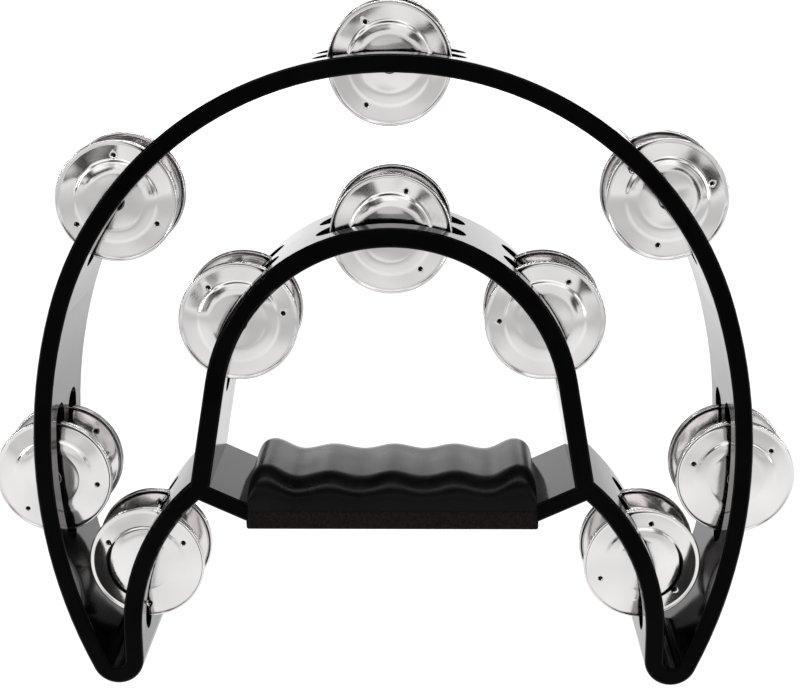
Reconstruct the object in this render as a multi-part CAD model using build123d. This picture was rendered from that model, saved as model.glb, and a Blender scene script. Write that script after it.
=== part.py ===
from build123d import *
import math
import os

# Half-moon tambourine, standing upright on the two rounded tips of its legs.
# +Z is up, the front rim faces -Y, and the plane y = 0 is the middle of its depth.
# Millimetres and degrees throughout.

# ---- moulded frame ---------------------------------------------------------
FRAME_DEPTH = 45.0          # front rim face to rear rim face
EDGE_ROUND = 1.1            # rounding of the edges of both rim faces

RIM_HALF_WIDTH = 113.0      # middle of the object to the widest point of the rim
RIM_CROWN_RADIUS = 110.3    # outer face of the rim over the crown
RIM_SIDE_RADIUS = 170.0     # outer face of the rim down each side
RIM_WALL = 5.6
CROWN_CENTRE_Z = 93.1

ARCH_RADIUS = 55.7          # middle of the wall that arches over the hand
ARCH_CENTRE_Z = 92.6
ARCH_FLARE = 10.0           # lean of the arch's two posts from the vertical
LEG_RADIUS = 66.0           # middle of the inner wall of each leg
LEG_CENTRE_Z = 17.5
INNER_WALL = 6.2            # thickness of the arch, its posts and the inner leg walls

TIP_RADIUS = 8.5            # rounded foot where the rim turns up into the leg
POCKET_FLOOR_Z = 6.0        # bottom of the narrow pocket inside each leg
POCKET_ROUND = 2.3

HANDLE_WALL = 5.6
HANDLE_BAR_Z = 58.4         # middle of the level bar inside the grip
HANDLE_KNEE_X = 43.5        # where the sloping ends of the bar turn level
CORE_DEPTH = 36.0           # the bar is set back at front and rear inside the grip
JUNCTION_ANGLE = 48.7       # where handle, post and leg meet, about the leg's centre

# ---- jingles ---------------------------------------------------------------
DISC_RADIUS = 19.0
DISC_SHEET = 0.5
DISC_HOLE_RADIUS = 2.6
BEAD_RADIUS = 0.42          # rolled bead around the lip
FLANGE_HEIGHT = 0.65        # rise of the sloping flange inside the lip
STEP_RADIUS = 13.4          # foot of the pressed step
STEP_WIDTH = 1.6
STEP_HEIGHT = 0.55
CROWN_RADIUS = 8.8          # flat middle of the dome
DOME_HEIGHT = 0.45          # rise from the top of the step to the flat middle
DOME_RINGS = 4              # conical rings that stand for the curve of the dome
DIMPLE_PLACE = 14.3         # middle of each dimple from the middle of the disc
DIMPLE_RADIUS = 0.75
DIMPLE_DEPTH = 0.5
DIMPLE_RAISE = 0.2          # keeps the boss behind each dimple clear of the other disc
DIMPLES = 3
PAIR_GAP = 0.5              # between the two lips of a pair
SLACK = 0.3                 # air between a hanging disc and its pin
PAIR_TILT = 1.7             # furthest that a resting pair leans on its pin
GOLDEN_ANGLE = 137.508      # spreads the resting spin of the discs evenly

SLOT_WIDTH = 11.6
SLOT_HALF_LENGTH = 23.4
SLOT_REACH = 8.7            # the slots are cut this far to each side of a wall's middle
ROW_OFFSET = 8.8            # middle of each row of slots from the middle of the depth
PIN_RADIUS = 1.1
PIN_FRONT_SKIN = 3.0        # wall left in front of each blind pin hole

SHOULDER_ANGLE = 52.3       # upper rim stations, from the crown
ARCH_STATION_ANGLE = 60.0   # outer stations of the arch, from its top
SIDE_STATION_Z = 68.4
LEG_STATION_ANGLE = 18.6

# ---- grip ------------------------------------------------------------------
GRIP_HALF_LENGTH = 45.9
GRIP_CREST_Z = 70.7         # crests between the fingers
END_CREST_Z = 72.7          # taller crest at each end
VALLEY_Z = 69.0
GROOVES = 4
GROOVE_PITCH = 20.2
SHOULDER_DROP = 6.5         # height of the rounded ends of the sleeve
CROWN_FLAT = 8.0            # half depth of the level top of the sleeve
CROWN_DROP = 10.0           # fall of the sleeve's long edges to front and rear
GRIP_SPLIT_Z = 60.3         # sleeve above, pad below
GRIP_BOTTOM_Z = 54.1
SLEEVE_INSET = 0.5          # the pad stands this far proud of the sleeve
PAD_ROUND = 0.8
FIT_GAP = 0.05              # air around the bar inside the grip

os.makedirs("parts", exist_ok=True)

# The rim is a crown arc that runs tangentially into a flatter arc on each side, and
# each side arc ends tangentially on the circle of its tip.
SIDE_CENTRE_X = RIM_HALF_WIDTH - RIM_SIDE_RADIUS
CENTRE_SHIFT = RIM_SIDE_RADIUS - RIM_CROWN_RADIUS
BLEND_ANGLE = math.degrees(math.acos(-SIDE_CENTRE_X / CENTRE_SHIFT))
SIDE_CENTRE_Z = CROWN_CENTRE_Z - CENTRE_SHIFT * math.sin(math.radians(BLEND_ANGLE))
TIP_CENTRE_X = SIDE_CENTRE_X + math.sqrt(
    (RIM_SIDE_RADIUS - TIP_RADIUS) ** 2 - (SIDE_CENTRE_Z - TIP_RADIUS) ** 2)
TIP_ANGLE = -math.degrees(math.asin(
    (SIDE_CENTRE_Z - TIP_RADIUS) / (RIM_SIDE_RADIUS - TIP_RADIUS)))
LEG_CENTRE_X = TIP_CENTRE_X - TIP_RADIUS + INNER_WALL / 2 - LEG_RADIUS


def polar(cx, cz, radius, degrees):
    """Point of the XZ plane at a distance and elevation angle from a centre."""
    a = math.radians(degrees)
    return (cx + radius * math.cos(a), cz + radius * math.sin(a))


def arc(cx, cz, radius, start, end):
    """Arc about a centre from one elevation angle to another."""
    middle = polar(cx, cz, radius, (start + end) / 2)
    return ThreePointArc(polar(cx, cz, radius, start), middle, polar(cx, cz, radius, end))


def both_halves(half):
    """The half outline on +X together with its mirror image."""
    return half + mirror(half, about=Plane.YZ)


def closed_face(*edges):
    """Face bounded by edges that follow each other, closed by one straight line."""
    return make_face([*edges, Line(edges[-1] @ 1, edges[0] @ 0)])


def rim_inside(inset, floor_z):
    """Region inside the rim's outer face, moved in by inset and cut off at a floor."""
    side = RIM_SIDE_RADIUS - inset
    floor_angle = -math.degrees(math.asin((SIDE_CENTRE_Z - floor_z) / side))
    crown = arc(0, CROWN_CENTRE_Z, RIM_CROWN_RADIUS - inset, 90, BLEND_ANGLE)
    flank = arc(SIDE_CENTRE_X, SIDE_CENTRE_Z, side, BLEND_ANGLE, floor_angle)
    floor = Line(flank @ 1, (0, floor_z))
    return both_halves(closed_face(crown, flank, floor))


def silhouette():
    """Outer shape of the frame, with the space between the legs still filled."""
    side = RIM_SIDE_RADIUS
    crown = arc(0, CROWN_CENTRE_Z, RIM_CROWN_RADIUS, 90, BLEND_ANGLE)
    flank = arc(SIDE_CENTRE_X, SIDE_CENTRE_Z, side, BLEND_ANGLE, TIP_ANGLE)
    tip = arc(TIP_CENTRE_X, TIP_RADIUS, TIP_RADIUS, TIP_ANGLE, -180)
    inner = Line(tip @ 1, (0, TIP_RADIUS))
    return both_halves(closed_face(crown, flank, tip, inner))


def inner_fill(offset, floor_z):
    """Region inside the arch, its posts and the legs, grown by offset."""
    reach = ARCH_RADIUS + offset
    arch = arc(0, ARCH_CENTRE_Z, reach, 90, ARCH_FLARE)
    post_foot_z = LEG_CENTRE_Z + LEG_RADIUS * math.sin(math.radians(JUNCTION_ANGLE))
    run = ((arch @ 1).Y - post_foot_z) * math.tan(math.radians(ARCH_FLARE))
    post = Line(arch @ 1, ((arch @ 1).X + run, post_foot_z))
    under = Line(post @ 1, (0, post_foot_z))
    hood = closed_face(arch, post, under)
    leg_x = LEG_CENTRE_X + LEG_RADIUS + offset
    top_angle = math.degrees(math.acos(-LEG_CENTRE_X / (LEG_RADIUS + offset)))
    leg = arc(LEG_CENTRE_X, LEG_CENTRE_Z, LEG_RADIUS + offset, top_angle, 0)
    shin = Line(leg @ 1, (leg_x, floor_z))
    sole = Line(shin @ 1, (0, floor_z))
    return both_halves(hood + closed_face(leg, shin, sole))


def handle_bar(wall):
    """Level bar with its two sloping ends, as a flat outline of the given thickness."""
    junction = polar(LEG_CENTRE_X, LEG_CENTRE_Z, LEG_RADIUS, JUNCTION_ANGLE)
    knee = (HANDLE_KNEE_X, HANDLE_BAR_Z)
    slope = trace(Line(junction, knee), wall)
    level = trace(Line(knee, (0, HANDLE_BAR_Z)), wall)
    return both_halves(slope + level + Pos(*knee) * Circle(wall / 2))


def upright(flat, depth):
    """Extrude a flat XZ outline by the same amount to the front and to the rear."""
    return extrude(Plane.XZ * flat, depth / 2, both=True)


def box_between(low, high):
    """Axis-aligned block between two corners."""
    size = [b - a for a, b in zip(low, high)]
    middle = [(a + b) / 2 for a, b in zip(low, high)]
    return Pos(*middle) * Box(*size)


def grip_setback(way):
    """Space of the grip's front (-1) or rear (+1) lip, cut out of the handle bar."""
    near, far = sorted((way * CORE_DEPTH / 2, way * FRAME_DEPTH))
    return box_between((-GRIP_HALF_LENGTH, near, GRIP_BOTTOM_Z),
                       (GRIP_HALF_LENGTH, far, GRIP_CREST_Z))


def bar_channel():
    """Space that the handle bar takes up inside the grip, with a little air."""
    wall = HANDLE_WALL + 2 * FIT_GAP
    core = upright(handle_bar(wall), CORE_DEPTH + 2 * FIT_GAP)
    ends = upright(handle_bar(wall), 2 * FRAME_DEPTH)
    reach = GRIP_HALF_LENGTH - FIT_GAP
    inside = box_between((-reach, -FRAME_DEPTH, 0), (reach, FRAME_DEPTH, 2 * GRIP_CREST_Z))
    return core + (ends - inside)


def stations():
    """Middle of the wall and outward angle of each jingle station: (name, x, z, angle)."""
    rim = RIM_CROWN_RADIUS - RIM_WALL / 2
    side = RIM_SIDE_RADIUS - RIM_WALL / 2
    side_angle = math.degrees(math.asin((SIDE_STATION_Z - SIDE_CENTRE_Z) / side))
    places = [
        ("crown", polar(0, CROWN_CENTRE_Z, rim, 90), 90),
        ("arch_top", polar(0, ARCH_CENTRE_Z, ARCH_RADIUS, 90), 90),
    ]
    paired = [
        ("shoulder", 0, CROWN_CENTRE_Z, rim, 90 - SHOULDER_ANGLE),
        ("side", SIDE_CENTRE_X, SIDE_CENTRE_Z, side, side_angle),
        ("arch", 0, ARCH_CENTRE_Z, ARCH_RADIUS, 90 - ARCH_STATION_ANGLE),
        ("leg", LEG_CENTRE_X, LEG_CENTRE_Z, LEG_RADIUS, LEG_STATION_ANGLE),
    ]
    for name, cx, cz, radius, angle in paired:
        x, z = polar(cx, cz, radius, angle)
        places.append((name + "_right", (x, z), angle))
        places.append((name + "_left", (-x, z), 180 - angle))
    return [(name, x, z, angle) for name, (x, z), angle in places]


def make_frame():
    wall = INNER_WALL / 2
    crescent = rim_inside(RIM_WALL, POCKET_FLOOR_Z) - inner_fill(wall, 0)
    low = [v for v in crescent.vertices() if v.Y < POCKET_FLOOR_Z + FIT_GAP]
    crescent = fillet(low, POCKET_ROUND)
    hand_and_legs = inner_fill(-wall, -TIP_RADIUS) - handle_bar(HANDLE_WALL)
    outline = silhouette() - crescent - hand_and_legs
    frame = upright(outline, FRAME_DEPTH)
    rim_faces = frame.faces().filter_by(Axis.Y)
    frame = fillet(rim_faces.edges(), EDGE_ROUND)
    slot = SlotOverall(2 * SLOT_HALF_LENGTH, SLOT_WIDTH)
    cutter = extrude(Plane.YZ * Rot(0, 0, 90) * slot, SLOT_REACH, both=True)
    pin_space = Cylinder(PIN_RADIUS, FRAME_DEPTH, rotation=(90, 0, 0))
    for name, x, z, angle in stations():
        for row in (-ROW_OFFSET, ROW_OFFSET):
            frame -= Pos(x, row, z) * Rot(0, -angle, 0) * cutter
        frame -= Pos(x, PIN_FRONT_SKIN, z) * pin_space
    return frame - grip_setback(1) - grip_setback(-1)


def axial_profile(points, thickness):
    """Outline of a pressed sheet from its outer face, of the given axial thickness."""
    face_line = Polyline(*points)
    back_line = Polyline(*[(r, h - thickness) for r, h in points])
    lip = Line(face_line @ 1, back_line @ 1)
    hole = Line(back_line @ 0, face_line @ 0)
    return make_face([face_line, lip, back_line, hole])


def make_disc():
    """One jingle disc, lip at z = 0 and dome towards +Z, turned about the Z axis."""
    lip_radius = DISC_RADIUS - BEAD_RADIUS
    step_top = FLANGE_HEIGHT + STEP_HEIGHT
    dome_foot = STEP_RADIUS - STEP_WIDTH
    apex = step_top + DOME_HEIGHT
    sheet = DISC_SHEET
    skirt = [(lip_radius, sheet), (STEP_RADIUS, FLANGE_HEIGHT + sheet)]
    step = [(dome_foot, step_top + sheet)]
    # quarter-sine rise from the top of the step to the flat middle
    rise = []
    for k in range(1, DOME_RINGS + 1):
        share = k / DOME_RINGS
        radius = dome_foot + (CROWN_RADIUS - dome_foot) * share
        rise.append((radius, step_top + sheet + DOME_HEIGHT * math.sin(share * math.pi / 2)))
    middle = [(DISC_HOLE_RADIUS, apex + sheet)]
    points = list(reversed(skirt + step + rise + middle))
    profile = axial_profile(points, sheet) + Pos(lip_radius, BEAD_RADIUS) * Circle(BEAD_RADIUS)
    disc = revolve(Plane.XZ * profile, Axis.Z)
    level = FLANGE_HEIGHT * (lip_radius - DIMPLE_PLACE) / (lip_radius - STEP_RADIUS)
    for k in range(DIMPLES):
        spot = polar(0, 0, DIMPLE_PLACE, 360 * k / DIMPLES)
        disc += Pos(*spot, level + DIMPLE_RAISE) * Sphere(DIMPLE_RADIUS)
        disc -= Pos(*spot, level + sheet + DIMPLE_RADIUS - DIMPLE_DEPTH) * Sphere(DIMPLE_RADIUS)
    return disc


def place_discs(disc):
    """Name and solid of every disc, hanging in place on its pin."""
    placed = []
    droop = DISC_HOLE_RADIUS - PIN_RADIUS - SLACK
    for n, (name, x, z, angle) in enumerate(stations()):
        for m, row in enumerate(("front", "rear")):
            y = (-ROW_OFFSET, ROW_OFFSET)[m]
            lean_way = math.radians(GOLDEN_ANGLE * (2 * n + m))
            lean = Rot(PAIR_TILT * math.cos(lean_way), 0, PAIR_TILT * math.sin(lean_way))
            pair = Pos(x, y, z - droop) * lean
            for k, side in enumerate(("outer", "inner")):
                spin = Rot(0, 0, GOLDEN_ANGLE * (4 * n + 2 * m + k))
                faces_front = (k == 0) == (row == "front")
                face_way = 90 if faces_front else -90
                shift = Pos(0, 0, PAIR_GAP / 2)
                solid = pair * Rot(face_way, 0, 0) * shift * spin * disc
                placed.append((f"jingle_{name}_{row}_{side}", solid))
    return placed


def make_pin():
    length = FRAME_DEPTH - PIN_FRONT_SKIN
    return Cylinder(PIN_RADIUS, length, rotation=(90, 0, 0))


def half_wave(x, top_z, bottom_z, crest, way):
    """Arc of a quarter pitch, from a crest or groove at x half way to its neighbour."""
    quarter = GROOVE_PITCH / 4
    rise = (top_z - bottom_z) / 2
    radius = (quarter ** 2 + rise ** 2) / (2 * rise)
    turn = math.degrees(math.asin(quarter / radius))
    if crest:
        ends = (90, 90 - way * turn)
        centre_z = top_z - radius
    else:
        ends = (-90, -90 + way * turn)
        centre_z = bottom_z + radius
    return arc(x, centre_z, radius, *ends)


def sleeve_outline():
    """Right half of the sleeve seen from the front, with its finger grooves."""
    end_x = GROOVES / 2 * GROOVE_PITCH
    shoulder_z = END_CREST_Z - SHOULDER_DROP
    fall = EllipticalCenterArc(
        (end_x, shoulder_z), GRIP_HALF_LENGTH - end_x, SHOULDER_DROP, 0, arc_size=90)
    edges = [Line((0, GRIP_SPLIT_Z), (GRIP_HALF_LENGTH, GRIP_SPLIT_Z)),
             Line((GRIP_HALF_LENGTH, GRIP_SPLIT_Z), (GRIP_HALF_LENGTH, shoulder_z)),
             fall,
             Line((0, GRIP_CREST_Z), (0, GRIP_SPLIT_Z))]
    for k in range(GROOVES):
        x = k * GROOVE_PITCH / 2
        top_z = END_CREST_Z if k == GROOVES - 1 else GRIP_CREST_Z
        crest = k % 2 == 0
        edges.append(half_wave(x, top_z, VALLEY_Z, crest, 1))
        edges.append(half_wave(x + GROOVE_PITCH / 2, top_z, VALLEY_Z, not crest, -1))
    return make_face(edges)


def sleeve_section():
    """Cross-section of the sleeve over the full height of its end crests."""
    reach = FRAME_DEPTH / 2 - SLEEVE_INSET
    edge_z = END_CREST_Z - CROWN_DROP
    fall = EllipticalCenterArc(
        (CROWN_FLAT, edge_z), reach - CROWN_FLAT, CROWN_DROP, 0, arc_size=90)
    side = Line((reach, GRIP_SPLIT_Z), (reach, edge_z))
    base = Line((0, GRIP_SPLIT_Z), (reach, GRIP_SPLIT_Z))
    top = Line((CROWN_FLAT, END_CREST_Z), (0, END_CREST_Z))
    middle = Line((0, END_CREST_Z), (0, GRIP_SPLIT_Z))
    half = make_face([base, side, fall, top, middle])
    return half + mirror(half, about=Plane.YZ)


def make_grip():
    """Rubber sleeve with finger grooves, and the textured pad that closes it below."""
    waves = upright(both_halves(sleeve_outline()), FRAME_DEPTH)
    rounded = extrude(Plane.YZ * sleeve_section(), GRIP_HALF_LENGTH, both=True)
    sleeve = waves & rounded
    pad_x = GRIP_HALF_LENGTH + SLEEVE_INSET
    pad_y = FRAME_DEPTH / 2
    pad = box_between((-pad_x, -pad_y, GRIP_BOTTOM_Z), (pad_x, pad_y, GRIP_SPLIT_Z))
    pad = fillet(pad.edges(), PAD_ROUND)
    channel = bar_channel()
    return sleeve - channel, pad - channel


frame = make_frame()
export_step(frame, "parts/frame.step")
sleeve, pad = make_grip()
export_step(sleeve, "parts/grip_sleeve.step")
export_step(pad, "parts/grip_pad.step")
for name, solid in place_discs(make_disc()):
    export_step(solid, "parts/" + name + ".step")
for name, x, z, angle in stations():
    pin = Pos(x, PIN_FRONT_SKIN / 2, z) * make_pin()
    export_step(pin, "parts/pin_" + name + ".step")
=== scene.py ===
import math

import bmesh
import bpy
from mathutils import Matrix, Vector


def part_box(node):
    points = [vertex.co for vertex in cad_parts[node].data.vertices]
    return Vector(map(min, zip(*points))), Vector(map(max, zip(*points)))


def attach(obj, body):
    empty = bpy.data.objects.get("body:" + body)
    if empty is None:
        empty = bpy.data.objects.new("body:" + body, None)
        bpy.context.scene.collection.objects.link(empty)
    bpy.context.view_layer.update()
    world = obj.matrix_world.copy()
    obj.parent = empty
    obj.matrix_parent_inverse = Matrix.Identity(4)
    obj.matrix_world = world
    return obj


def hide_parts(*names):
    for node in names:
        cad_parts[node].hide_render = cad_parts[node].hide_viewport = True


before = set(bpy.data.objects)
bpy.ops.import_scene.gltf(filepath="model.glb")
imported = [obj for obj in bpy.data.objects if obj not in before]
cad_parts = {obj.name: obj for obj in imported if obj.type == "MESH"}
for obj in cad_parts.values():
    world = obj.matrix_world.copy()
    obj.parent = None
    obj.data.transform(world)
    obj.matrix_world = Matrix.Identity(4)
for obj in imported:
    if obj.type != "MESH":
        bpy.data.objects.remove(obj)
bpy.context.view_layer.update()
MM = 0.001

# ---- jingle sizes, repeated from the CAD model -----------------------------
STATIONS = (
    "crown", "arch_top", "shoulder_right", "shoulder_left", "side_right", "side_left",
    "arch_right", "arch_left", "leg_right", "leg_left",
)
ROWS = ("front", "rear")
SIDES = ("outer", "inner")
GOLDEN_ANGLE = 137.508
ROW_OFFSET = 8.8 * MM
PAIR_GAP = 0.5 * MM
PAIR_TILT = 1.7
PIN_RADIUS = 1.1 * MM
DISC_HOLE = 2.6 * MM
SLACK = 0.3 * MM
DROOP = DISC_HOLE - PIN_RADIUS - SLACK
SHEET = 0.42 * MM

# heights and radii of the pressed shape, in mm
FLANGE_OUTER = 18.4
FLANGE_FOOT = 0.45
FLANGE_RISE = 0.70
STEP_OUTER = 13.4
STEP_INNER = 11.8
STEP_RISE = 0.55
SEAM = 8.8                  # ring where the dome meets its flat middle
SEAM_DROP = 0.03
SEAM_WIDTH = 0.6
DOME = 0.45
BEAD_MIDDLE = 18.58         # rolled lip
BEAD_RADIUS = 0.42
BEAD_START = 120            # degrees
BEAD_TURN = 27
BEAD_POINTS = 11
HOLE_CHAMFER = 0.12
LIP_INSIDE = 18.2           # the painted shade on the hollow side of a disc ends here

# punched pits, in mm and degrees
PITS = 3
PIT_PLACE = 14.3            # middle of a pit from the axis
PIT_WIDTH = 0.9
PIT_DEPTH = 0.9
PIT_SPREAD = 9              # half of the finely divided sector round a pit
SECTOR_STEPS = 26           # divisions between two fine sectors


def smoothstep(t):
    t = max(0.0, min(1.0, t))
    return t * t * (3 - 2 * t)


def smooth_mesh(name, verts, faces):
    """Smooth-shaded mesh with its faces turned outwards."""
    mesh = bpy.data.meshes.new(name)
    mesh.from_pydata(verts, [], faces)
    bm = bmesh.new()
    bm.from_mesh(mesh)
    bmesh.ops.recalc_face_normals(bm, faces=bm.faces)
    bm.to_mesh(mesh)
    bm.free()
    mesh.shade_smooth()
    return mesh


# ---- jingle disc -----------------------------------------------------------
def disc_height(r):
    """Height of the outer face above the lip plane, at a distance from the axis in mm."""
    if r >= STEP_OUTER:
        return FLANGE_FOOT + FLANGE_RISE * (FLANGE_OUTER - r) / (FLANGE_OUTER - STEP_OUTER)
    top = FLANGE_FOOT + FLANGE_RISE
    if r >= STEP_INNER:
        return top + STEP_RISE * smoothstep((STEP_OUTER - r) / (STEP_OUTER - STEP_INNER))
    top += STEP_RISE
    if r >= SEAM:
        return top + DOME * math.sin((STEP_INNER - r) / (STEP_INNER - SEAM) * math.pi / 2)
    return top + DOME - SEAM_DROP * smoothstep((SEAM - r) / SEAM_WIDTH)


def disc_profile():
    """Closed half-section of the sheet: outer face, rolled lip, inner face, hole edge."""
    hole = DISC_HOLE / MM
    # close together over the seam, the step and the pits, and far apart between them
    radii = [hole, hole + HOLE_CHAMFER, hole + 0.4, 3.6, 5.0, 6.5, 7.6, 8.3, 8.5, 8.65,
             SEAM, 9.1, 9.6, 10.2, 11.0, STEP_INNER, 12.1, 12.4, 12.7, 13.0, STEP_OUTER,
             13.55, 13.7, 13.85, 14.0, 14.15, PIT_PLACE, 14.45, 14.6, 14.75, 14.9, 15.1,
             15.6, 16.4, 17.3, 18.0]
    outer = [(r, disc_height(r)) for r in radii]
    outer[0] = (hole, disc_height(hole) - HOLE_CHAMFER)
    bead = []
    for k in range(BEAD_POINTS):
        a = math.radians(BEAD_START - k * BEAD_TURN)
        bead.append((BEAD_MIDDLE + BEAD_RADIUS * math.cos(a),
                     BEAD_RADIUS + BEAD_RADIUS * math.sin(a)))
    sheet = SHEET / MM
    inner = [(r, disc_height(r) - sheet) for r in reversed(radii[1:])]
    inner.append((hole, disc_height(hole) - sheet + HOLE_CHAMFER))
    return [(r * MM, z * MM) for r, z in outer + bead + inner]


def disc_angles():
    """Angles round the disc, closer together where the pits are."""
    angles = []
    sector = 360 / PITS
    fine = 2 * PIT_SPREAD
    for k in range(PITS):
        start = k * sector - PIT_SPREAD
        angles += [start + i for i in range(fine)]
        rest = sector - fine
        angles += [start + fine + i * rest / SECTOR_STEPS for i in range(SECTOR_STEPS)]
    return [math.radians(a) for a in angles]


def disc_mesh():
    """One pressed disc, lip at z = 0 and dome towards +Z."""
    profile = disc_profile()
    angles = disc_angles()
    spots = [math.radians(360 / PITS * k) for k in range(PITS)]
    place, width, depth = PIT_PLACE * MM, PIT_WIDTH * MM, PIT_DEPTH * MM
    verts = []
    for a in angles:
        for r, z in profile:
            dent = 0.0
            for s in spots:
                away = math.hypot(r * math.cos(a) - place * math.cos(s),
                                  r * math.sin(a) - place * math.sin(s))
                dent += depth * max(0.0, 1 - away / width)
            verts.append((r * math.cos(a), r * math.sin(a), max(z - dent, 0.0)))
    faces = []
    n, m = len(angles), len(profile)
    for i in range(n):
        for j in range(m):
            k = (j + 1) % m
            p = (i + 1) % n
            faces.append((i * m + j, p * m + j, p * m + k, i * m + k))
    mesh = smooth_mesh("jingle_disc", verts, faces)
    # the material follows the disc as it was pressed, before it is turned
    pressed = mesh.attributes.new("pressed_at", "FLOAT_VECTOR", "POINT")
    pressed.data.foreach_set("vector", [value for vert in verts for value in vert])
    return mesh


def add_discs(material):
    mesh = disc_mesh()
    mesh.materials.append(material)
    for n, name in enumerate(STATIONS):
        low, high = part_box("pin_" + name)
        middle = (low + high) / 2
        for m, row in enumerate(ROWS):
            y = (-ROW_OFFSET, ROW_OFFSET)[m]
            lean_way = math.radians(GOLDEN_ANGLE * (2 * n + m))
            lean_x = math.radians(PAIR_TILT * math.cos(lean_way))
            lean_z = math.radians(PAIR_TILT * math.sin(lean_way))
            pair = Matrix.Translation((middle.x, y, middle.z - DROOP))
            pair = pair @ Matrix.Rotation(lean_x, 4, "X") @ Matrix.Rotation(lean_z, 4, "Z")
            for k, side in enumerate(SIDES):
                faces_front = (k == 0) == (row == "front")
                turn = math.radians(90 if faces_front else -90)
                spin = math.radians(GOLDEN_ANGLE * (4 * n + 2 * m + k))
                node = f"jingle_{name}_{row}_{side}"
                turned = mesh.copy()
                turned.transform(Matrix.Rotation(spin, 4, "Z"))
                disc = bpy.data.objects.new(f"disc_{name}_{row}_{side}", turned)
                bpy.context.scene.collection.objects.link(disc)
                disc.matrix_world = (pair @ Matrix.Rotation(turn, 4, "X")
                                     @ Matrix.Translation((0, 0, PAIR_GAP / 2)))
                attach(disc, node)
                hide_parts(node)


# ---- grip sleeve -----------------------------------------------------------
# millimetres, repeated from the CAD model
GRIP_HALF = 45.9
GRIP_SPLIT = 60.3
GRIP_REACH = 22.0
CREST, END_CREST, VALLEY = 70.7, 72.7, 69.0
PITCH = 20.2
SHOULDER_DROP = 6.5

# finer shape of the sleeve's top and its divisions
FLAT_REACH = 12.0           # half depth of the level top
EDGE_SHARE = 0.3            # height left at the front and rear edges
FALL_STEPS = 16
END_STEPS = 12
WAVE_STEPS = 72
SHARP_ANGLE = 40            # edges that bend more than this stay sharp


def groove_height(x):
    """Top of the sleeve along its length, at the middle of its depth."""
    x = abs(x)
    end = 2 * PITCH
    if x >= end:
        t = min(1.0, (x - end) / (GRIP_HALF - end))
        return END_CREST - SHOULDER_DROP * (1 - math.sqrt(1 - t * t))
    top = END_CREST if x > 1.5 * PITCH else CREST
    wave = 0.5 + 0.5 * math.cos(2 * math.pi * x / PITCH)
    return VALLEY + (top - VALLEY) * wave


def sleeve_mesh():
    """Closed sleeve, rounded down to the front and to the rear."""
    fall = [math.radians(i * 90 / FALL_STEPS) for i in range(FALL_STEPS + 1)]
    turns = [math.sin(math.radians(i * 90 / END_STEPS)) for i in range(END_STEPS + 1)]
    ends = [GRIP_HALF - (GRIP_HALF - 2 * PITCH) * (1 - turn) for turn in turns]
    middle = [i * 2 * PITCH / WAVE_STEPS for i in range(WAVE_STEPS)]
    right = middle + ends
    xs = [-x for x in reversed(right[1:])] + right
    sides = [(FLAT_REACH + (GRIP_REACH - FLAT_REACH) * math.sin(a),
              EDGE_SHARE + (1 - EDGE_SHARE) * math.cos(a)) for a in fall]
    rows = [(-y, q) for y, q in reversed(sides)] + sides
    verts = []
    for y, q in rows:
        for x in xs:
            verts.append((x, y, GRIP_SPLIT + (groove_height(x) - GRIP_SPLIT) * q))
    n, m = len(rows), len(xs)
    # the sleeve's outline, once round, as vertex numbers
    rim = list(range(m)) + [i * m + m - 1 for i in range(1, n)]
    rim += [(n - 1) * m + j for j in range(m - 2, -1, -1)] + [i * m for i in range(n - 2, 0, -1)]
    faces = []
    for i in range(n - 1):
        for j in range(m - 1):
            a = i * m + j
            faces.append((a, a + 1, a + m + 1, a + m))
    foot = len(verts)
    verts += [(verts[k][0], verts[k][1], GRIP_SPLIT) for k in rim]
    for i in range(len(rim)):
        k = (i + 1) % len(rim)
        faces.append((rim[k], rim[i], foot + i, foot + k))
    faces.append(tuple(foot + i for i in range(len(rim))))
    mesh = smooth_mesh("grip_skin", [tuple(v * MM for v in p) for p in verts], faces)
    mesh.set_sharp_from_angle(angle=math.radians(SHARP_ANGLE))
    return mesh


def add_sleeve(material):
    mesh = sleeve_mesh()
    mesh.materials.append(material)
    sleeve = bpy.data.objects.new("grip_skin", mesh)
    bpy.context.scene.collection.objects.link(sleeve)
    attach(sleeve, "frame")
    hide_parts("grip_sleeve")


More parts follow.
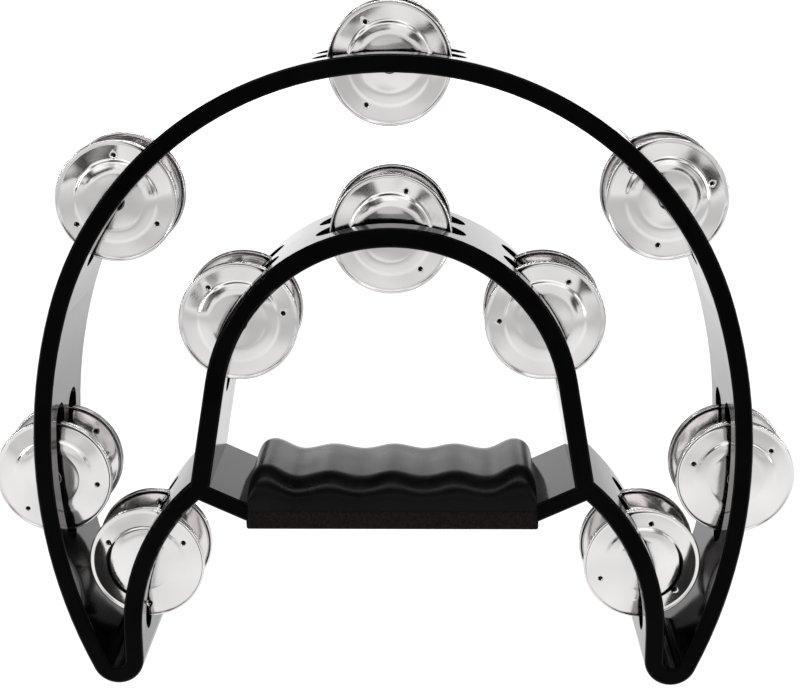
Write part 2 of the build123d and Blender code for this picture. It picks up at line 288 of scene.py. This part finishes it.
# ---- materials -------------------------------------------------------------
class Nodes:
    """Short-hand for building one material's node tree."""

    def __init__(self, name):
        self.material = bpy.data.materials.new(name)
        self.material.use_nodes = True
        self.tree = self.material.node_tree
        self.shader = self.tree.nodes["Principled BSDF"]

    def add(self, kind, **values):
        node = self.tree.nodes.new(kind)
        for key, value in values.items():
            if key in node.inputs:
                node.inputs[key].default_value = value
            else:
                setattr(node, key, value)
        return node

    def join(self, source, target):
        self.tree.links.new(source, target)

    def set(self, **values):
        for key, value in values.items():
            self.shader.inputs[key.replace("_", " ")].default_value = value

    def object_coords(self, scale=(1, 1, 1)):
        coords = self.add("ShaderNodeTexCoord")
        mapping = self.add("ShaderNodeMapping")
        mapping.inputs["Scale"].default_value = scale
        self.join(coords.outputs["Object"], mapping.inputs["Vector"])
        return mapping.outputs["Vector"]

    def noise(self, vector, scale, detail, roughness):
        node = self.add("ShaderNodeTexNoise", Scale=scale, Detail=detail, Roughness=roughness)
        self.join(vector, node.inputs["Vector"])
        return node.outputs["Fac"]

    def ramp(self, value, stops):
        node = self.add("ShaderNodeValToRGB")
        elements = node.color_ramp.elements
        while len(elements) < len(stops):
            elements.new(0.5)
        for element, (place, colour) in zip(elements, stops):
            element.position = place
            element.color = (*colour, 1)
        self.join(value, node.inputs["Fac"])
        return node.outputs["Color"]

    def remap(self, value, low, high, to_low, to_high):
        node = self.add("ShaderNodeMapRange")
        node.inputs["From Min"].default_value = low
        node.inputs["From Max"].default_value = high
        node.inputs["To Min"].default_value = to_low
        node.inputs["To Max"].default_value = to_high
        self.join(value, node.inputs["Value"])
        return node.outputs["Result"]

    def math(self, kind, first, second=0.0):
        """Arithmetic on sockets or plain numbers."""
        node = self.add("ShaderNodeMath", operation=kind)
        for socket, value in zip(node.inputs, (first, second)):
            if isinstance(value, float):
                socket.default_value = value
            else:
                self.join(value, socket)
        return node.outputs["Value"]

    def blend(self, factor, source, colour):
        """Colour that goes from the source to a plain colour as the factor rises."""
        node = self.add("ShaderNodeMix", data_type="RGBA")
        self.join(factor, node.inputs[0])
        self.join(source, node.inputs[6])
        node.inputs[7].default_value = colour
        return node.outputs[2]

    def inside(self, vector):
        """One on the hollow side of a jingle, short of its rolled lip, else zero: where painted
        shade darkens the steel.
        """
        flat = self.add("ShaderNodeVectorMath", operation="MULTIPLY")
        self.join(vector, flat.inputs[0])
        flat.inputs[1].default_value = (1, 1, 0)
        reach = self.add("ShaderNodeVectorMath", operation="LENGTH")
        self.join(flat.outputs["Vector"], reach.inputs[0])
        within = self.remap(reach.outputs["Value"], LIP_INSIDE * MM, FLANGE_OUTER * MM, 1.0, 0.0)
        facing = self.add("ShaderNodeSeparateXYZ")
        self.join(self.add("ShaderNodeTexCoord").outputs["Normal"], facing.inputs["Vector"])
        return self.math("MULTIPLY", within, self.remap(facing.outputs["Z"], -0.3, 0.0, 1.0, 0.0))

    def pit_distance(self, vector):
        """Distance from the nearest of the three pits in a jingle."""
        split = self.add("ShaderNodeSeparateXYZ")
        self.join(vector, split.inputs["Vector"])
        x, y = split.outputs["X"], split.outputs["Y"]
        far = self.math("SQRT", self.math("ADD", self.math("MULTIPLY", x, x),
                                          self.math("MULTIPLY", y, y)))
        turn = self.math("ARCTAN2", y, x)
        sector = self.add("ShaderNodeMath", operation="WRAP")
        self.join(turn, sector.inputs[0])
        sector.inputs[1].default_value = math.pi / PITS
        sector.inputs[2].default_value = -math.pi / PITS
        near = sector.outputs["Value"]
        across = self.math("MULTIPLY", far, self.math("SINE", near))
        along = self.math("SUBTRACT", self.math("MULTIPLY", far, self.math("COSINE", near)),
                          PIT_PLACE * MM)
        return self.math("SQRT", self.math("ADD", self.math("MULTIPLY", across, across),
                                           self.math("MULTIPLY", along, along)))

    def bump(self, height, distance, strength):
        node = self.add("ShaderNodeBump", Strength=strength, Distance=distance)
        self.join(height, node.inputs["Height"])
        return node.outputs["Normal"]


def grey(value):
    return (value, value, value)


def frame_plastic():
    n = Nodes("frame_plastic")
    at = n.object_coords()
    cloud = n.noise(at, 55, 5, 0.6)
    fine = n.noise(at, 1500, 2, 0.5)
    n.join(n.ramp(cloud, [(0.3, grey(0.0005)), (0.7, grey(0.0018))]), n.shader.inputs["Base Color"])
    n.join(n.remap(cloud, 0.3, 0.7, 0.07, 0.14), n.shader.inputs["Roughness"])
    n.join(n.bump(fine, 0.00002, 0.5), n.shader.inputs["Normal"])
    n.set(IOR=1.38, Specular_Tint=(0.04, 0.04, 0.04, 1))
    return n.material


def jingle_steel():
    n = Nodes("jingle_steel")
    at = n.add("ShaderNodeAttribute", attribute_name="pressed_at").outputs["Vector"]
    broad = n.noise(at, 45, 1, 0.5)
    fine = n.noise(at, 2500, 3, 0.6)
    # painted shade: the steel goes near black round each punched pit, standing in for shade in the
    # dents
    pit_shade = n.remap(n.pit_distance(at), 0.45 * MM, 1.0 * MM, 1.0, 0.0)
    plate = n.ramp(broad, [(0.3, (0.62, 0.605, 0.60)), (0.7, (0.74, 0.72, 0.715))])
    # painted shade: the hollow side of each disc is made near black, standing in for the shade
    # between the two discs of a pair
    plate = n.blend(n.inside(at), plate, (0.06, 0.057, 0.056, 1))
    n.join(n.blend(pit_shade, plate, (0.01, 0.01, 0.01, 1)), n.shader.inputs["Base Color"])
    n.join(n.remap(fine, 0.3, 0.7, 0.07, 0.16), n.shader.inputs["Roughness"])
    n.join(n.bump(broad, 0.0026, 0.7), n.shader.inputs["Normal"])
    n.set(Metallic=1.0)
    return n.material


def grip_rubber():
    n = Nodes("grip_rubber")
    streak = n.noise(n.object_coords((0.25, 1, 1)), 900, 4, 0.6)
    cloud = n.noise(n.object_coords(), 70, 4, 0.6)
    n.join(n.ramp(cloud, [(0.3, grey(0.001)), (0.7, grey(0.003))]), n.shader.inputs["Base Color"])
    n.join(n.remap(cloud, 0.3, 0.7, 0.26, 0.34), n.shader.inputs["Roughness"])
    n.join(n.bump(streak, 0.00003, 0.5), n.shader.inputs["Normal"])
    n.set(Sheen_Weight=0.03, Sheen_Roughness=0.4)
    n.set(IOR=1.9, Specular_Tint=(0.05, 0.05, 0.05, 1))
    return n.material


def pad_rubber():
    n = Nodes("pad_rubber")
    at = n.object_coords()
    grain = n.noise(at, 1400, 5, 0.7)
    n.join(n.ramp(grain, [(0.35, grey(0.001)), (0.7, (0.014, 0.010, 0.009))]),
           n.shader.inputs["Base Color"])
    n.join(n.remap(grain, 0.3, 0.7, 0.6, 0.9), n.shader.inputs["Roughness"])
    n.join(n.bump(grain, 0.0004, 0.8), n.shader.inputs["Normal"])
    n.set(Specular_Tint=(0.05, 0.05, 0.05, 1))
    return n.material


def pin_steel():
    n = Nodes("pin_steel")
    drawn = n.noise(n.object_coords((1, 0.05, 1)), 3000, 3, 0.6)
    n.join(n.ramp(drawn, [(0.3, grey(0.42)), (0.7, grey(0.62))]), n.shader.inputs["Base Color"])
    n.join(n.remap(drawn, 0.3, 0.7, 0.22, 0.4), n.shader.inputs["Roughness"])
    n.join(n.bump(drawn, 0.00005, 0.4), n.shader.inputs["Normal"])
    n.set(Metallic=1.0)
    return n.material


def floor_paint():
    """White, with a soft grey band on the side of the camera, out of view."""
    n = Nodes("floor_paint")
    at = n.object_coords()
    split = n.add("ShaderNodeSeparateXYZ")
    n.join(at, split.inputs["Vector"])
    near = n.remap(split.outputs["Y"], -0.55, -0.12, 0.62, 1.04)
    far = n.remap(split.outputs["Y"], -2.0, -0.75, 1.04, 0.62)
    level = n.math("MAXIMUM", near, far)
    mottle = n.remap(n.noise(at, 40, 3, 0.5), 0.3, 0.7, 1.0, 1.03)
    n.join(n.math("MULTIPLY", level, mottle), n.shader.inputs["Emission Strength"])
    n.set(Roughness=0.9, Base_Color=(0.12, 0.12, 0.12, 1), Specular_IOR_Level=0.1,
          Emission_Color=(1, 1, 1, 1))
    return n.material


def card_paint():
    n = Nodes("card_paint")
    n.set(Roughness=0.9, Base_Color=(0.1, 0.1, 0.1, 1), Specular_IOR_Level=0.1,
          Emission_Color=(1, 1, 1, 1), Emission_Strength=1.6)
    return n.material


def dress(node, material):
    """Give a carried-over CAD node its material."""
    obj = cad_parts[node]
    obj.data.materials.clear()
    obj.data.materials.append(material)


# ---- stage -----------------------------------------------------------------
# metres and degrees; the camera's focal length and sensor are in mm
FLOOR_HALF = 8.0
CARD_HALF_WIDTH = 0.30
CARD_Y = 1.0
CARD_TOP = 0.47
CAMERA_PLACE = (0.0146, -0.49738, 0.24333)
CAMERA_PITCH = 15.092       # downwards
CAMERA_YAW = 1.408          # to the left
CAMERA_ROLL = -0.4
CAMERA_LENS = 72
SENSOR_WIDTH = 36

# name, place, target, size, watts
AREA_LIGHTS = (
    ("key", (-0.1, 0.1, 1.2), (0, 0, 0.1), (0.8, 0.6), 1.2),
    ("strip", (0, -0.25, 1.0), (0, 0, 0.1), (1.2, 0.12), 5.0),
    ("front_left", (-1.1, -0.8, 0.6), (0, 0, 0.12), (0.06, 0.8), 3.0),
    ("front_right", (1.1, -0.8, 0.5), (0, 0, 0.12), (0.05, 0.8), 2.0),
)


def add_floor():
    mesh = bpy.data.meshes.new("floor")
    r = FLOOR_HALF
    mesh.from_pydata([(-r, -r, 0), (r, -r, 0), (r, r, 0), (-r, r, 0)], [], [(0, 1, 2, 3)])
    mesh.materials.append(floor_paint())
    floor = bpy.data.objects.new("floor", mesh)
    bpy.context.scene.collection.objects.link(floor)


def add_card():
    """White card stood up behind the object, which the upward faces reflect."""
    mesh = bpy.data.meshes.new("card")
    corners = [(side * CARD_HALF_WIDTH, CARD_Y, height)
               for side, height in ((-1, 0), (1, 0), (1, CARD_TOP), (-1, CARD_TOP))]
    mesh.from_pydata(corners, [], [(0, 1, 2, 3)])
    mesh.materials.append(card_paint())
    card = bpy.data.objects.new("card", mesh)
    bpy.context.scene.collection.objects.link(card)


def add_area(name, place, target, size, power):
    light = bpy.data.lights.new(name, "AREA")
    light.shape = "RECTANGLE"
    light.size, light.size_y = size
    light.energy = power
    lamp = bpy.data.objects.new(name, light)
    lamp.location = place
    lamp.rotation_mode = "QUATERNION"
    lamp.rotation_quaternion = (Vector(target) - Vector(place)).to_track_quat("-Z", "Y")
    bpy.context.scene.collection.objects.link(lamp)


def add_world():
    """Uneven softboxes on the side of the camera, in a room that is dark elsewhere."""
    world = bpy.data.worlds.new("studio")
    world.use_nodes = True
    tree = world.node_tree
    background = tree.nodes["Background"]
    coords = tree.nodes.new("ShaderNodeTexCoord")
    split = tree.nodes.new("ShaderNodeSeparateXYZ")
    tree.links.new(coords.outputs["Generated"], split.inputs["Vector"])

    def remap(source, low, high, to_low, to_high):
        node = tree.nodes.new("ShaderNodeMapRange")
        node.interpolation_type = "SMOOTHSTEP"
        for key, value in (("From Min", low), ("From Max", high),
                           ("To Min", to_low), ("To Max", to_high)):
            node.inputs[key].default_value = value
        tree.links.new(source, node.inputs["Value"])
        return node.outputs["Result"]

    def math_node(kind, first, second):
        node = tree.nodes.new("ShaderNodeMath")
        node.operation = kind
        tree.links.new(first, node.inputs[0])
        tree.links.new(second, node.inputs[1])
        return node.outputs["Value"]

    patches = tree.nodes.new("ShaderNodeTexNoise")
    patches.inputs["Scale"].default_value = 3.5
    patches.inputs["Detail"].default_value = 1.0
    tree.links.new(coords.outputs["Generated"], patches.inputs["Vector"])
    # hard-edged patches all round, and brighter softboxes in a band above the horizon
    stripes = remap(patches.outputs["Fac"], 0.46, 0.54, 0.03, 1.1)
    boxes = remap(patches.outputs["Fac"], 0.38, 0.5, 0.3, 1.6)
    above_dark = remap(split.outputs["Z"], 0.17, 0.28, 0.0, 1.0)
    below_roof = remap(split.outputs["Z"], 0.5, 0.75, 1.0, 0.03)
    lit = math_node("MULTIPLY", boxes, above_dark)
    # dark behind the object, where only the card is lit
    ahead = remap(split.outputs["Y"], 0.0, 0.35, 1.0, 0.03)
    front = math_node("MULTIPLY", math_node("MAXIMUM", lit, stripes), below_roof)
    tree.links.new(math_node("MULTIPLY", front, ahead), background.inputs["Color"])
    background.inputs["Strength"].default_value = 1.0
    bpy.context.scene.world = world


def add_lights():
    add_world()
    for light in AREA_LIGHTS:
        add_area(*light)


def add_camera():
    """Camera in front of the handle, a little above it, looking slightly down."""
    pitch, yaw, roll = (math.radians(v) for v in (CAMERA_PITCH, CAMERA_YAW, CAMERA_ROLL))
    place = Vector(CAMERA_PLACE)
    forward = Vector((-math.sin(yaw) * math.cos(pitch), math.cos(yaw) * math.cos(pitch),
                      -math.sin(pitch)))
    level = Vector((math.cos(yaw), math.sin(yaw), 0))
    above = level.cross(forward)
    right = level * math.cos(roll) + above * math.sin(roll)
    up = above * math.cos(roll) - level * math.sin(roll)
    turn = Matrix((right, up, -forward)).transposed()
    data = bpy.data.cameras.new("camera")
    data.lens = CAMERA_LENS
    data.sensor_width = SENSOR_WIDTH
    camera = bpy.data.objects.new("camera", data)
    camera.matrix_world = Matrix.Translation(place) @ turn.to_4x4()
    bpy.context.scene.collection.objects.link(camera)
    bpy.context.scene.camera = camera


add_discs(jingle_steel())
dress("frame", frame_plastic())
add_sleeve(grip_rubber())
dress("grip_pad", pad_rubber())
pin_material = pin_steel()
for station in STATIONS:
    dress("pin_" + station, pin_material)
add_floor()
add_card()
add_lights()
add_camera()
bpy.context.scene.view_settings.view_transform = "Standard"
